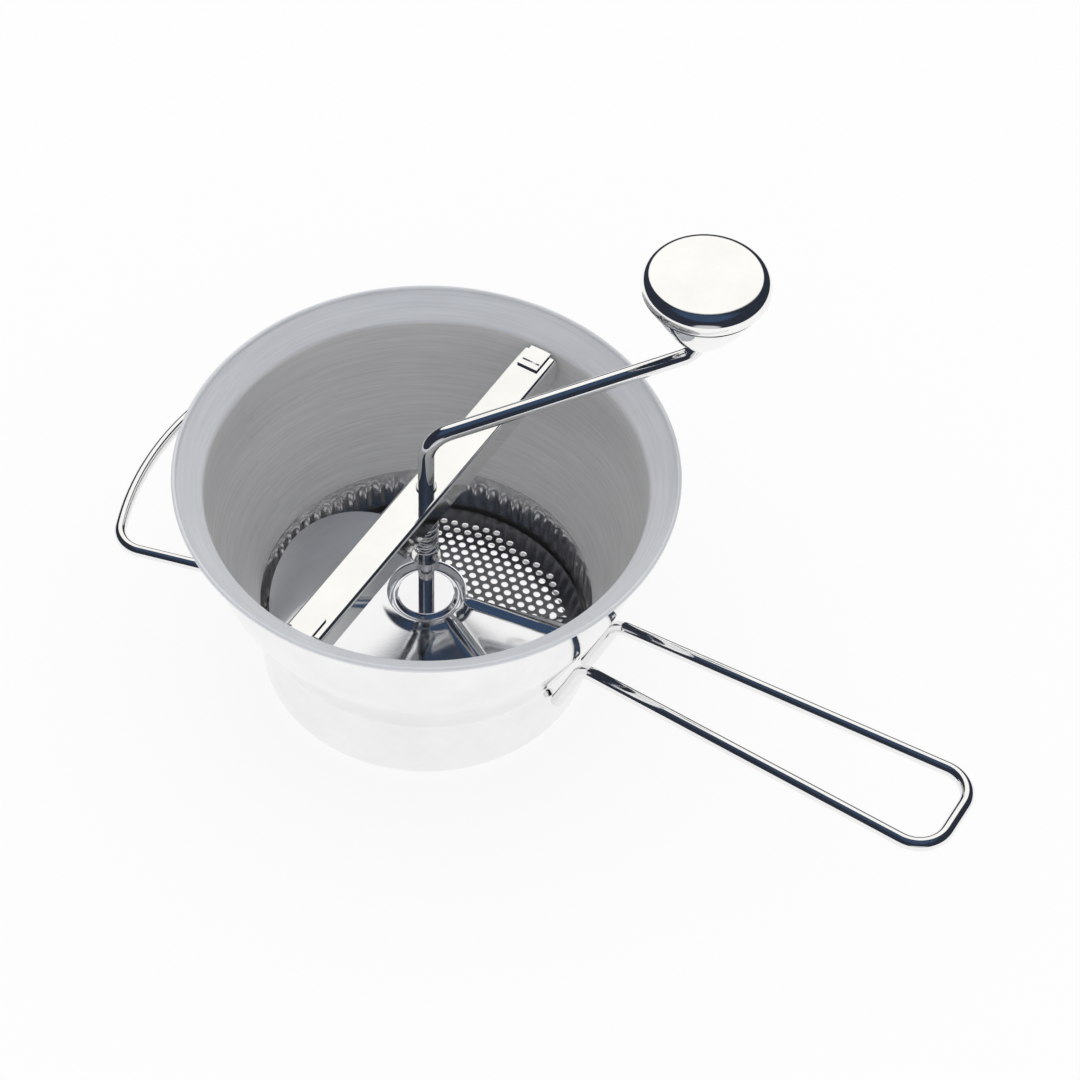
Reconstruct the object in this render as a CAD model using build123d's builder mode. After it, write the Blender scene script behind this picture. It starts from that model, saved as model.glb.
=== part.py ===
from build123d import *
from math import atan2, cos, degrees, hypot, pi, radians, sin, sqrt, tan
import os

# Hand cranked tomato strainer (food mill), all in stainless steel.
# Millimetres, +Z up. The bowl's axis is Z and its foot stands on z = 0.
# +X runs along the long handle, the crossbar lies along Y.

os.makedirs("parts", exist_ok=True)

# ---------------------------------------------------------------- driving sizes
# bowl
bowl_height = 134.0          # foot to rim plane
rim_radius = 120.0           # outside of the rolled rim
rim_bead = 2.4               # diameter of the rolled edge
bowl_wall = 1.0              # sheet thickness
flare_depth = 11.4           # height of the sloping rim band
throat_radius = 105.3        # inside, under the flare
throat_bend = 4.0
shoulder_height = 92.0       # where the upper wall turns into the cone
shoulder_bend = 60.0
collar_radius = 81.1         # inside of the foot collar
collar_height = 39.0         # where the cone turns into the collar
collar_bend = 26.0
foot_bend = 5.0
foot_opening = 72.0          # radius left open under the sieve
flute_count = 72             # shallow upright flutes round the collar
flute_width = 4.2
flute_rise = 0.8
flute_bottom = 14.2
flute_top = 33.0
# sieve
sieve_clearance = 0.5        # to the flutes it slides past
sieve_seat_gap = 0.2
sieve_edge_height = 13.0
sieve_edge_bend = 1.6
sieve_slope = 8.0            # degrees, rising to the centre
sieve_wall = 1.0
sieve_bore = 5.0             # radius of the centre hole
hole_pitch = 7.9
hole_radius = 2.7
hole_field_inner = 15.0
hole_field_outer = 70.0
# shaft and crank
rod_diameter = 8.0
tip_diameter = 5.0
tip_length = 9.0
running_fit = 0.05           # radial, turning fits
press_fit = 0.02             # radial, fixed fits
crank_angle = 53.8           # degrees from +X at rest
crank_reach = 138.8          # bowl axis to knob axis
arm_height = 153.7           # arm centre line produced to the bowl axis
arm_rise = 2.8               # degrees
arm_bend_inner = 12.0
arm_bend_outer = 10.0
# crossbar
bar_top = 120.0
bar_width = 19.0
bar_half_length = 103.0
bar_depth = 14.0
bar_sheet = 1.2
bar_edge_bend = 2.0
bush_radius = 5.0
bush_rise = 1.0
bush_bottom = 102.0
lock_ring_radius = 7.4
lock_ring_thickness = 2.0
# end clips
clip_width = 11.0
clip_sheet = 1.2
clip_offset = -0.3           # clips sit a little off the bar's middle
clip_leg_width = 9.4
clip_leg_depth = 6.0
clip_window = 1.0            # slit left where the latch's leg is bent down
fixed_leg_y = 93.2           # middle of the leg that goes down through the bar
latch_leg_y = 96.0
latch_end_y = 91.2           # the latch runs on inwards over its slot
clip_tip_y = 107.5
clip_slot_clearance = 0.5
latch_travel = 2.6
# pressure spring
spring_wire = 1.5
spring_coil_radius = 5.3     # wire centre
spring_turns = 6
spring_end_bend = 1.8
washer_radius = 7.0
washer_thickness = 1.4
lower_washer_top = 70.0
cross_pin_diameter = 2.4
cross_pin_overhang = 2.6
# rotor
hub_top = 41.0
hub_radius = 14.0
hub_flange = 1.6
hub_sleeve_radius = 7.0
hub_sleeve_bottom = 29.0
rotor_sheet = 1.2
rotor_bend = 1.4
moat_radius = 16.2
moat_depth = 1.0
ridge_radius = 19.2
ridge_top = 42.2
blade_root_radius = 20.5
blade_radius = 77.5
blade_corner_radius = 54.0   # outline radius at the very start of the leading edge
blade_corner_sweep = 42.0
blade_step = 7               # degrees between the blade's cross sections
blade_start = 143.0          # degrees, raised leading edge
blade_end = 396.0            # degrees, edge that wipes the sieve
blade_lead_height = 36.0     # outer corner of the leading edge
blade_low_height = 29.0      # outer edge before the wiping lip
blade_gap = 0.5              # wiping edge to sieve
wipe_lip_sweep = 13.0        # degrees over which the blade bends down
rib_angles = (337.0, 378.0)  # radial ribs pressed into the blade
rib_height = 2.2
rib_sweep = 5.0
rivet_count = 3
rivet_circle = 10.8
rivet_diameter = 3.2
rivet_head = 5.2             # under the rotor, the upper ends are flush
rivet_head_height = 1.2
# knob
knob_radius = 30.9
knob_middle = 205.4          # height of the widest circle
knob_top = 214.0
dome_radius = 27.4           # where the flat dome meets the rounded edge
dome_edge = 211.0
cap_lip_radius = 28.6
cap_bottom = 201.0
knob_sheet = 1.0
cup_top_radius = 26.4
cup_middle_radius = 20.5
cup_middle = 186.0
cup_bottom_radius = 10.0
cup_bottom = 172.0
knob_bush_radius = 6.5
retainer_radius = 8.0
retainer_thickness = 1.4
stop_ring_radius = 6.2
stop_ring_thickness = 1.2
# handles
handle_wire = 6.8
handle_root_half = 15.9      # half spacing of the rods at the bowl
handle_end_half = 24.0
handle_reach = 286.0
handle_root_height = 65.4
handle_end_height = 69.2
handle_corner = 15.0
helper_wire = 6.0
helper_radius = 150.5
helper_height = 69.0
helper_root_angle = 38.0     # where its rods leave the wall, from -X
helper_splay = 15.6          # degrees that the rods spread outwards
helper_corner = 14.0
leg_bottom = 28.5            # foot of each leg, welded to the collar
leg_foot_half = 14.0         # half spacing of the long handle's feet
leg_lean = 21.0              # degrees that the legs lean out from the collar
weld_gap = 0.15
leg_bend = 9.0


def save(part, name):
    part.label = name
    export_step(part, "parts/" + name + ".step")


# ---------------------------------------------------------------- shared geometry
cone_run = throat_radius - collar_radius
cone_fall = shoulder_height - collar_height


flute_inner_radius = collar_radius - flute_rise
sieve_radius = flute_inner_radius - sieve_clearance
sieve_rise = tan(radians(sieve_slope))


# the sieve's skirt stands in the curve of the foot, which rises outwards
foot_curve_centre = collar_radius - foot_bend
sieve_foot = bowl_wall + foot_bend + sieve_seat_gap
sieve_foot -= sqrt(foot_bend ** 2 - (sieve_radius - foot_curve_centre) ** 2)


def sieve_top(r):
    """Height of the sieve's upper face at radius r."""
    return sieve_edge_height + (sieve_radius - r) * sieve_rise


crank_dir = Vector(cos(radians(crank_angle)), sin(radians(crank_angle)), 0)
crank_plane = Plane(origin=(0, 0, 0), x_dir=crank_dir, z_dir=crank_dir.cross(Vector(0, 0, 1)))
knob_axis = crank_dir * crank_reach
knob_plane = Plane(origin=knob_axis, x_dir=(1, 0, 0), z_dir=(0, -1, 0))
knob_spin = Axis((knob_axis.X, knob_axis.Y, 0), (0, 0, 1))
rod_radius = rod_diameter / 2
arm_end_height = arm_height + crank_reach * tan(radians(arm_rise))


# ---------------------------------------------------------------- bowl
def bowl_profile():
    """Inner face of the sheet, rim to foot opening, as radius and height."""
    bead = rim_bead / 2
    points = [
        (rim_radius - bead, bowl_height - bead + bowl_wall / 2),
        (throat_radius, bowl_height - flare_depth),
        (throat_radius, shoulder_height),
        (collar_radius, collar_height),
        (collar_radius, bowl_wall),
        (foot_opening, bowl_wall),
    ]
    bends = [throat_bend, shoulder_bend, collar_bend, foot_bend]
    return points, bends


with BuildPart() as bowl:
    profile_points, profile_bends = bowl_profile()
    with BuildSketch(Plane.XZ):
        with BuildLine():
            FilletPolyline(*profile_points, radius=profile_bends)
            offset(amount=bowl_wall, side=Side.LEFT)
        make_face()
    revolve(axis=Axis.Z)
    with BuildSketch(Plane.XZ):
        with Locations((rim_radius - rim_bead / 2, bowl_height - rim_bead / 2)):
            Circle(rim_bead / 2)
    revolve(axis=Axis.Z)
    # upright flutes round the inside of the collar
    flute_back = collar_radius + bowl_wall / 2
    with BuildSketch(Plane.XY.offset(flute_bottom)):
        with PolarLocations(0, flute_count):
            with BuildLine():
                crest = ThreePointArc(
                    (flute_back, -flute_width / 2),
                    (flute_inner_radius, 0),
                    (flute_back, flute_width / 2),
                )
                Line(crest @ 0, crest @ 1)
            make_face()
    extrude(amount=flute_top - flute_bottom)
    # slots that take the crossbar's two clips
    with Locations((clip_offset, 0, bar_top + clip_sheet / 2)):
        Box(
            clip_width + 2 * clip_slot_clearance,
            2 * (throat_radius + 4 * bowl_wall),
            clip_sheet + 2 * clip_slot_clearance,
            mode=Mode.SUBTRACT,
        )
save(bowl.part, "bowl")


# ---------------------------------------------------------------- sieve
def sieve_holes():
    """Staggered hole centres between the plain hub zone and the plain edge."""
    row_step = hole_pitch * sqrt(3) / 2
    rows = int(hole_field_outer / row_step) + 1
    columns = int(hole_field_outer / hole_pitch) + 1
    centres = []
    for row in range(-rows, rows + 1):
        shift = hole_pitch / 2 * (row % 2)
        for column in range(-columns, columns + 1):
            x, y = column * hole_pitch + shift, row * row_step
            if hole_field_inner < hypot(x, y) < hole_field_outer:
                centres.append((x, y))
    return centres


with BuildPart() as sieve_disc:
    with BuildSketch(Plane.XZ):
        with BuildLine():
            FilletPolyline(
                (sieve_bore, sieve_top(sieve_bore)),
                (sieve_radius, sieve_top(sieve_radius)),
                (sieve_radius, sieve_foot),
                radius=sieve_edge_bend,
            )
            offset(amount=sieve_wall, side=Side.RIGHT)
        make_face()
    revolve(axis=Axis.Z)
    with BuildSketch(Plane.XY):
        with Locations(*sieve_holes()):
            RegularPolygon(hole_radius, 6)
        Circle(sieve_bore)
    extrude(amount=bowl_height / 2, mode=Mode.SUBTRACT)
save(sieve_disc.part, "sieve_disc")

# flanged bush riveted into the sieve's centre, it guides the shaft's tip
tip_radius = tip_diameter / 2
bush_flange_radius = sieve_bore + 2.5
bush_seat = sieve_top(sieve_bore)
bush_flange = 1.2
with BuildPart() as sieve_bush:
    with BuildSketch(Plane.XY.offset(bush_seat - sieve_wall - bush_flange)):
        Circle(sieve_bore - press_fit)
    extrude(amount=sieve_wall + bush_flange)
    with BuildSketch(Plane.XY.offset(bush_seat)):
        Circle(bush_flange_radius)
    extrude(amount=bush_flange)
    with Locations((0, 0, bush_seat + bush_flange)):
        Hole(tip_radius + running_fit)
save(sieve_bush.part, "sieve_bush")
shaft_seat = bush_seat + bush_flange + blade_gap

# ---------------------------------------------------------------- crossbar
bar_bottom = bar_top - bar_depth
slot_width = clip_leg_width + 2 * clip_slot_clearance
leg_room = clip_sheet / 2 + clip_slot_clearance
latch_slot_inner = latch_leg_y - leg_room - latch_travel
latch_slot_outer = latch_leg_y + leg_room

with BuildPart() as crossbar:
    with BuildSketch(Plane.XZ.offset(-bar_half_length)):
        with BuildLine():
            FilletPolyline(
                (-bar_width / 2, bar_bottom),
                (-bar_width / 2, bar_top),
                (bar_width / 2, bar_top),
                (bar_width / 2, bar_bottom),
                radius=bar_edge_bend,
            )
            offset(amount=bar_sheet, side=Side.RIGHT)
        make_face()
    extrude(amount=2 * bar_half_length)
    with Locations((0, 0, bar_top)):
        Hole(bush_radius + press_fit)
    with BuildSketch(Plane.XY.offset(bar_top)):
        with Locations((clip_offset, (latch_slot_inner + latch_slot_outer) / 2)):
            Rectangle(slot_width, latch_slot_outer - latch_slot_inner)
        with Locations((clip_offset, -fixed_leg_y)):
            Rectangle(slot_width, 2 * leg_room)
    extrude(amount=-2 * bar_sheet, mode=Mode.SUBTRACT)
save(crossbar.part, "crossbar")

# plain bearing through the bar, staked under the sheet by a lock ring
with BuildPart() as crossbar_bush:
    with BuildSketch(Plane.XY.offset(bush_bottom)):
        Circle(bush_radius)
    extrude(amount=bar_top + bush_rise - bush_bottom)
    chamfer(crossbar_bush.edges().sort_by(Axis.Z)[-1], bush_rise / 3)
    with Locations((0, 0, bar_top + bush_rise)):
        Hole(rod_radius + running_fit)
save(crossbar_bush.part, "crossbar_bush")

lock_ring_top = bar_top - bar_sheet
with BuildPart() as bush_lock_ring:
    with BuildSketch(Plane.XY.offset(lock_ring_top - lock_ring_thickness)):
        Circle(lock_ring_radius)
        Circle(bush_radius + press_fit, mode=Mode.SUBTRACT)
    extrude(amount=lock_ring_thickness)
save(bush_lock_ring.part, "bush_lock_ring")


# ---------------------------------------------------------------- end clips
def end_clip(side, leg_y, end_y):
    """Spring steel strip on the bar's end: tongue into the wall, leg down through the bar."""
    with BuildPart() as clip:
        with Locations((clip_offset, side * (end_y + clip_tip_y) / 2, bar_top + clip_sheet / 2)):
            Box(clip_width, clip_tip_y - end_y, clip_sheet)
        tip_edges = clip.edges().filter_by(Axis.Z).group_by(Axis.Y)[-1 if side > 0 else 0]
        fillet(tip_edges, clip_width / 6)
        # slit on the leg's inner side, where it is cut free before it is bent down
        slit_y = leg_y - (clip_sheet + clip_window) / 2
        with Locations((clip_offset, side * slit_y, bar_top + clip_sheet / 2)):
            Box(clip_leg_width, clip_window, 2 * clip_sheet, mode=Mode.SUBTRACT)
        with Locations((clip_offset, side * leg_y, bar_top - clip_leg_depth / 2)):
            Box(clip_leg_width, clip_sheet, clip_leg_depth)
    return clip.part


save(end_clip(-1, fixed_leg_y, fixed_leg_y - clip_sheet / 2), "end_clip")
save(end_clip(1, latch_leg_y, latch_end_y), "latch_strip")


# ---------------------------------------------------------------- spring and washers
def washer(bottom, thickness, outer, bore):
    with BuildPart() as ring:
        with BuildSketch(Plane.XY.offset(bottom)):
            Circle(outer)
            Circle(bore, mode=Mode.SUBTRACT)
        extrude(amount=thickness)
    return ring.part


upper_washer_bottom = bush_bottom - washer_thickness
save(washer(upper_washer_bottom, washer_thickness, washer_radius, rod_radius + 2 * running_fit),
     "upper_washer")
lower_washer_bottom = lower_washer_top - washer_thickness
save(washer(lower_washer_bottom, washer_thickness, washer_radius, rod_radius + 2 * running_fit),
     "lower_washer")

# open coil spring: half turns as pairs of arcs, the wire's ends stand square on the washers
spring_end_run = spring_wire


def helix_point(turn, low, pitch):
    """Point and direction of the coil's centre line after so many turns."""
    angle = 2 * pi * turn
    around = 2 * pi * spring_coil_radius
    slope = Vector(-sin(angle) * around, cos(angle) * around, pitch).normalized()
    place = Vector(cos(angle) * spring_coil_radius, sin(angle) * spring_coil_radius, low + pitch * turn)
    return place, slope


def biarc_joint(start, start_dir, end, end_dir):
    """Meeting point of the two arcs that join two directed points smoothly."""
    span = end - start
    lean = span.dot(start_dir + end_dir)
    spread = 2 * (1 - start_dir.dot(end_dir))
    reach = (sqrt(lean ** 2 + spread * span.dot(span)) - lean) / spread
    return (start + end + (start_dir - end_dir) * reach) * 0.5


spring_room = upper_washer_bottom - lower_washer_top
# the bend from the upright end into the coil's slope takes this much height
coil_angle = pi / 2 - atan2(spring_room / spring_turns, 2 * pi * spring_coil_radius)
spring_low = lower_washer_top + spring_end_run + spring_end_bend * sin(coil_angle)
spring_high = upper_washer_bottom - spring_end_run - spring_end_bend * sin(coil_angle)
spring_pitch = (spring_high - spring_low) / spring_turns
half_turns = 2 * spring_turns


def coil_gap():
    """Least clear distance between neighbouring turns, measured on sampled points."""
    samples = 48
    turns = [i / samples for i in range(spring_turns * samples + 1)]
    points = [helix_point(turn, spring_low, spring_pitch)[0] for turn in turns]
    least = bowl_height
    for i, first in enumerate(points):
        for second in points[i + samples // 2:]:
            least = min(least, (first - second).length)
    return least - spring_wire


print("spring: least gap between turns %.2f mm" % coil_gap())

up = Vector(0, 0, 1)
with BuildPart() as pressure_spring:
    with BuildLine() as spring_line:
        low_point, low_dir = helix_point(0, spring_low, spring_pitch)
        level = (low_dir - up * low_dir.dot(up)).normalized()
        turned = degrees(atan2(low_dir.dot(level), low_dir.dot(up)))
        sideways = spring_end_bend * (1 - cos(radians(turned)))
        climb = spring_end_bend * sin(radians(turned))
        bend_start = low_point - level * sideways - up * climb
        foot = Vector(bend_start.X, bend_start.Y, lower_washer_top)
        Line(foot, bend_start)
        TangentArc(bend_start, low_point, tangent=up)
        for half in range(half_turns):
            start, start_dir = helix_point(half / 2, spring_low, spring_pitch)
            end, end_dir = helix_point((half + 1) / 2, spring_low, spring_pitch)
            joint = biarc_joint(start, start_dir, end, end_dir)
            first = TangentArc(start, joint, tangent=start_dir)
            TangentArc(joint, end, tangent=first % 1)
        high_point, high_dir = helix_point(spring_turns, spring_low, spring_pitch)
        bend_end = high_point + level * sideways + up * climb
        TangentArc(high_point, bend_end, tangent=high_dir)
        Line(bend_end, Vector(bend_end.X, bend_end.Y, upper_washer_bottom))
    with BuildSketch(Plane.XY.offset(lower_washer_top)):
        with Locations((foot.X, foot.Y)):
            RegularPolygon(spring_wire / 2, 6)
    sweep(path=spring_line.line)
save(pressure_spring.part, "pressure_spring")

hub_seat = hub_top - hub_flange
hub_pin_z = (hub_sleeve_bottom + hub_seat - rotor_sheet) / 2
cross_pin_z = lower_washer_bottom - cross_pin_diameter / 2 - 2 * running_fit
cross_pin_length = rod_diameter + 2 * cross_pin_overhang
with BuildPart() as spring_pin:
    with BuildSketch(Plane.XZ.offset(-cross_pin_length / 2)):
        with Locations((0, cross_pin_z)):
            Circle(cross_pin_diameter / 2)
    extrude(amount=cross_pin_length)
    chamfer(spring_pin.edges().filter_by(GeomType.CIRCLE), cross_pin_diameter / 6)
save(spring_pin.part, "spring_pin")

# ---------------------------------------------------------------- crank rod
rod_top = cap_bottom
with BuildPart() as crank_rod:
    with BuildLine(crank_plane):
        crank_path = FilletPolyline(
            (0, shaft_seat),
            (0, arm_height),
            (crank_reach, arm_end_height),
            (crank_reach, rod_top),
            radius=[arm_bend_inner, arm_bend_outer],
        )
    with BuildSketch(Plane.XY.offset(shaft_seat)):
        Circle(rod_radius)
    sweep(path=crank_path)
    with BuildSketch(Plane.XY.offset(shaft_seat)):
        Circle(tip_radius)
    extrude(amount=-tip_length)
    # bores for the pins that carry the spring and the hub
    with BuildSketch(Plane.XZ.offset(-rod_diameter)):
        with Locations((0, cross_pin_z), (0, hub_pin_z)):
            Circle(cross_pin_diameter / 2 + press_fit)
    extrude(amount=2 * rod_diameter, mode=Mode.SUBTRACT)
save(crank_rod.part, "crank_rod")

# ---------------------------------------------------------------- rotor
rivet_points = PolarLocations(rivet_circle, rivet_count, start_angle=crank_angle + 60)
with BuildPart() as rotor_hub:
    with BuildSketch(Plane.XY.offset(hub_seat)):
        Circle(hub_radius)
    extrude(amount=hub_flange)
    chamfer(rotor_hub.edges().sort_by(Axis.Z)[-1], hub_flange / 5)
    with BuildSketch(Plane.XY.offset(hub_sleeve_bottom)):
        Circle(hub_sleeve_radius)
    extrude(amount=hub_seat - hub_sleeve_bottom)
    with BuildSketch(Plane.XY.offset(hub_sleeve_bottom)):
        Circle(rod_radius + press_fit)
        with rivet_points:
            Circle(rivet_diameter / 2 + press_fit)
    extrude(amount=hub_top, mode=Mode.SUBTRACT)
    with BuildSketch(Plane.XZ.offset(-hub_radius)):
        with Locations((0, hub_pin_z)):
            Circle(cross_pin_diameter / 2 + press_fit)
    extrude(amount=2 * hub_radius, mode=Mode.SUBTRACT)
save(rotor_hub.part, "rotor_hub")

# cross pin that keys the hub to the shaft
hub_pin_length = 2 * hub_sleeve_radius
with BuildPart() as hub_pin:
    with BuildSketch(Plane.XZ.offset(-hub_pin_length / 2)):
        with Locations((0, hub_pin_z)):
            Circle(cross_pin_diameter / 2)
    extrude(amount=hub_pin_length)
    chamfer(hub_pin.edges().filter_by(GeomType.CIRCLE), cross_pin_diameter / 6)
save(hub_pin.part, "hub_pin")


def blade_edge(angle):
    """Height of the blade's outer edge: a gentle ramp, then the wiping lip and the ribs."""
    ramp_end = blade_end - wipe_lip_sweep
    share = min((angle - blade_start) / (ramp_end - blade_start), 1)
    height = blade_lead_height + (blade_low_height - blade_lead_height) * share
    for rib in rib_angles:
        off = abs(angle - rib) / rib_sweep
        height += rib_height * max(0, 1 - off)
    if angle > ramp_end:
        wiped = sieve_top(blade_radius) + blade_gap + rotor_sheet
        height += (wiped - height) * (angle - ramp_end) / wipe_lip_sweep
    return height


def blade_root(angle):
    """Height of the blade beside the hub, low only at the wiping edge."""
    ramp_end = blade_end - wipe_lip_sweep
    root = ridge_top - rotor_sheet
    if angle > ramp_end:
        wiped = sieve_top(blade_root_radius) + blade_gap + rotor_sheet
        root += (wiped - root) * (angle - ramp_end) / wipe_lip_sweep
    return root


def blade_reach(angle):
    """Outline radius: the leading corner is rounded off."""
    past = angle - blade_start
    if past >= blade_corner_sweep:
        return blade_radius
    rounding = (1 - past / blade_corner_sweep) ** 2
    return blade_radius - (blade_radius - blade_corner_radius) * rounding


blade_angles = [blade_end - wipe_lip_sweep, blade_end - wipe_lip_sweep / 2, blade_end]
for rib in rib_angles:
    blade_angles += [rib - rib_sweep, rib, min(rib + rib_sweep, blade_end - wipe_lip_sweep)]
filled = sorted(blade_angles)
blade_angle = blade_start
while blade_angle < blade_end:
    if min(abs(blade_angle - other) for other in filled) > blade_step / 3:
        blade_angles.append(blade_angle)
    blade_angle += blade_step
blade_angles = sorted(set(blade_angles))

with BuildPart() as rotor_blade:
    for angle in blade_angles:
        out = Vector(cos(radians(angle)), sin(radians(angle)), 0)
        reach = blade_reach(angle)
        middle = (blade_root_radius + reach) / 2
        share = (middle - blade_root_radius) / (blade_radius - blade_root_radius)
        bow = blade_root(angle) + (blade_edge(angle) - blade_root(angle)) * share
        with BuildSketch(Plane(origin=(0, 0, 0), x_dir=out, z_dir=out.cross(Vector(0, 0, 1)))):
            with BuildLine():
                Polyline(
                    (blade_root_radius - 1, blade_root(angle)),
                    (middle, bow),
                    (reach, blade_edge(angle)),
                    (reach, blade_edge(angle) - rotor_sheet),
                    (middle, bow - rotor_sheet),
                    (blade_root_radius - 1, blade_root(angle) - rotor_sheet),
                    close=True,
                )
            make_face()
    loft(ruled=True)
    # pressed centre: flat seat, moat and ridge
    with BuildSketch(Plane.XZ):
        with BuildLine():
            FilletPolyline(
                (rod_radius + running_fit, hub_seat),
                (hub_radius, hub_seat),
                (moat_radius, hub_seat - moat_depth),
                (ridge_radius, ridge_top),
                (blade_root_radius + 1, ridge_top - 2 * rotor_sheet),
                radius=rotor_bend,
            )
            offset(amount=rotor_sheet, side=Side.RIGHT)
        make_face()
    revolve(axis=Axis.Z)
    with BuildSketch(Plane.XY.offset(hub_seat - 3 * rotor_sheet)):
        Circle(hub_sleeve_radius + press_fit)
        with rivet_points:
            Circle(rivet_diameter / 2 + press_fit)
    extrude(amount=4 * rotor_sheet, mode=Mode.SUBTRACT)
save(rotor_blade.part, "rotor_blade")

with BuildPart() as hub_rivets:
    with BuildSketch(Plane.XY.offset(hub_seat - rotor_sheet)):
        with rivet_points:
            Circle(rivet_diameter / 2)
    extrude(amount=rotor_sheet + hub_flange)
    with BuildSketch(Plane.XY.offset(hub_seat - rotor_sheet)):
        with rivet_points:
            Circle(rivet_head / 2)
    extrude(amount=-rivet_head_height)
    chamfer(hub_rivets.edges().filter_by(GeomType.CIRCLE).group_by(Axis.Z)[0], rivet_head_height / 2)
save(hub_rivets.part, "hub_rivets")

# ---------------------------------------------------------------- knob
with BuildPart() as knob_cap:
    with BuildSketch(knob_plane):
        with BuildLine():
            TangentArc((0, knob_top), (dome_radius, dome_edge), tangent=(1, 0))
            ThreePointArc((dome_radius, dome_edge), (knob_radius, knob_middle), (cap_lip_radius, cap_bottom))
            offset(amount=knob_sheet, side=Side.RIGHT)
        make_face()
    revolve(axis=knob_spin)
save(knob_cap.part, "knob_cap")

with BuildPart() as knob_cup:
    with BuildSketch(knob_plane):
        with BuildLine():
            Line((knob_bush_radius + press_fit, cup_bottom), (cup_bottom_radius, cup_bottom))
            ThreePointArc(
                (cup_bottom_radius, cup_bottom),
                (cup_middle_radius, cup_middle),
                (cup_top_radius, cap_bottom - knob_sheet),
            )
            Line((cup_top_radius, cap_bottom - knob_sheet), (cap_lip_radius, cap_bottom - knob_sheet))
            offset(amount=knob_sheet, side=Side.LEFT)
        make_face()
    revolve(axis=knob_spin)
save(knob_cup.part, "knob_cup")

# bearing bush in the cup, held between two rings that are fixed on the rod
retainer_bottom = rod_top - knob_sheet - retainer_thickness
with BuildPart() as knob_bush:
    with BuildSketch(Plane.XY.offset(cup_bottom)):
        with Locations((knob_axis.X, knob_axis.Y)):
            Circle(knob_bush_radius)
    extrude(amount=retainer_bottom - 2 * running_fit - cup_bottom)
    with BuildSketch(Plane.XY.offset(cup_bottom + knob_sheet)):
        with Locations((knob_axis.X, knob_axis.Y)):
            Circle(cup_bottom_radius - knob_sheet)
    extrude(amount=retainer_thickness)
    with BuildSketch(Plane.XY.offset(cup_bottom)):
        with Locations((knob_axis.X, knob_axis.Y)):
            Circle(rod_radius + running_fit)
    extrude(amount=rod_top - cup_bottom, mode=Mode.SUBTRACT)
save(knob_bush.part, "knob_bush")


def rod_ring(bottom, thickness, outer):
    """Ring pressed on the rod's upright end."""
    with BuildPart() as ring:
        with BuildSketch(Plane.XY.offset(bottom)):
            with Locations((knob_axis.X, knob_axis.Y)):
                Circle(outer)
                Circle(rod_radius + press_fit, mode=Mode.SUBTRACT)
        extrude(amount=thickness)
    return ring.part


save(rod_ring(retainer_bottom, retainer_thickness, retainer_radius), "knob_retainer")
stop_ring_bottom = cup_bottom - 2 * running_fit - stop_ring_thickness
save(rod_ring(stop_ring_bottom, stop_ring_thickness, stop_ring_radius), "knob_stop_ring")


# ---------------------------------------------------------------- wire handles
def leg_reaches(wire, top):
    """Distances from the bowl's axis of a leg's foot on the collar and of the corner at its top."""
    foot = collar_radius + bowl_wall + weld_gap + wire / 2 * cos(radians(leg_lean))
    return foot, foot + (top - leg_bottom) * tan(radians(leg_lean))


def mirrored(point):
    return (point[0], -point[1], point[2])


def wire_sweep(path, points, wire):
    """Round wire along a path whose first run joins the first two points."""
    start = Vector(*points[0])
    with BuildPart() as rod:
        with BuildSketch(Plane(origin=start, z_dir=Vector(*points[1]) - start)):
            Circle(wire / 2)
        sweep(path=path)
    return rod.part


# long handle: up from the collar, out, round the end and back
foot_reach, top_reach = leg_reaches(handle_wire, handle_root_height)
side = [
    (sqrt(foot_reach ** 2 - leg_foot_half ** 2), leg_foot_half, leg_bottom),
    (sqrt(top_reach ** 2 - handle_root_half ** 2), handle_root_half, handle_root_height),
    (handle_reach, handle_end_half, handle_end_height),
]
with BuildLine() as long_path:
    bends = [leg_bend, handle_corner]
    FilletPolyline(*side, *[mirrored(point) for point in reversed(side)], radius=bends + bends[::-1])
save(wire_sweep(long_path.line, side, handle_wire), "long_handle")

# helper handle: a bow round the bowl, joined to two splayed rods by tangent corners
foot_reach, top_reach = leg_reaches(helper_wire, helper_height)
root_dir = Vector(-cos(radians(helper_root_angle)), sin(radians(helper_root_angle)), 0)
root = [
    (root_dir.X * foot_reach, root_dir.Y * foot_reach, leg_bottom),
    (root_dir.X * top_reach, root_dir.Y * top_reach, helper_height),
]
outward = Vector(-cos(radians(helper_splay)), sin(radians(helper_splay)), 0)
inward = Vector(-outward.Y, outward.X, 0)
corner_line = Vector(*root[1]) + inward * helper_corner
corner_line.Z = 0
along = corner_line.dot(outward)
corner_orbit = helper_radius - helper_corner
corner_reach = sqrt(along ** 2 + corner_orbit ** 2 - corner_line.dot(corner_line)) - along
corner_centre = corner_line + outward * corner_reach
bow_start = corner_centre * (helper_radius / corner_orbit) + Vector(0, 0, helper_height)
rod_end = corner_centre - inward * helper_corner + Vector(0, 0, helper_height)
with BuildLine() as helper_path:
    FilletPolyline(*root, rod_end, radius=leg_bend)
    TangentArc(rod_end, bow_start, tangent=outward)
    far_start, far_end = mirrored(tuple(bow_start)), mirrored(tuple(rod_end))
    ThreePointArc(bow_start, (-helper_radius, 0, helper_height), far_start)
    TangentArc(far_end, far_start, tangent=(outward.X, -outward.Y, 0))
    FilletPolyline(*[mirrored(point) for point in root], far_end, radius=leg_bend)
save(wire_sweep(helper_path.line, root, helper_wire), "helper_handle")
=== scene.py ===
from math import atan2, cos, degrees, exp, hypot, pi, radians, sin, sqrt, tan

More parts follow.
